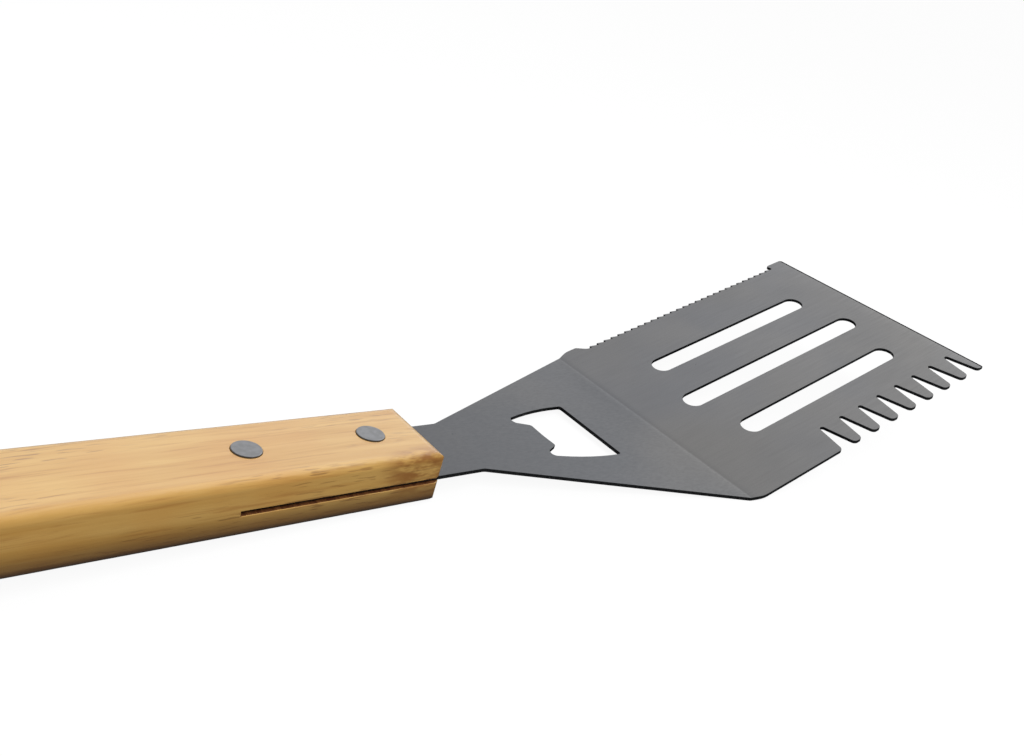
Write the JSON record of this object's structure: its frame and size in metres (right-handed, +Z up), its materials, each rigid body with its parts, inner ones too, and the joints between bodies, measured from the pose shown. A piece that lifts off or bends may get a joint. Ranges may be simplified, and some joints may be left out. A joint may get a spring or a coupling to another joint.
{
  "type": "grill spatula",
  "caption": "Long barbecue turner: slotted steel blade with a comb edge and a saw edge, a bottle opener in the neck, and a riveted wooden handle.",
  "frame": {"origin": "centre of the bounding box on the surface the tool lies on", "axes": "+X to the blade's front edge, +Y to the saw-toothed side, +Z up as the tool lies on the crease's underside and the handle's lower front edge"},
  "size_m": [0.451, 0.1, 0.0337],
  "materials": {
    "blade_steel": "fine brushed stainless sheet, satin",
    "handle_wood": "pale open-pored hardwood, sanded and lightly lacquered",
    "rivet_metal": "satin, slightly domed heads"
  },
  "bodies": {
    "root": {"turner_blade": "blade_steel", "handle": "handle_wood", "front_rivet_tube": "rivet_metal", "front_rivet_pin": "rivet_metal", "rear_rivet_tube": "rivet_metal", "rear_rivet_pin": "rivet_metal"}
  },
  "joints": []
}
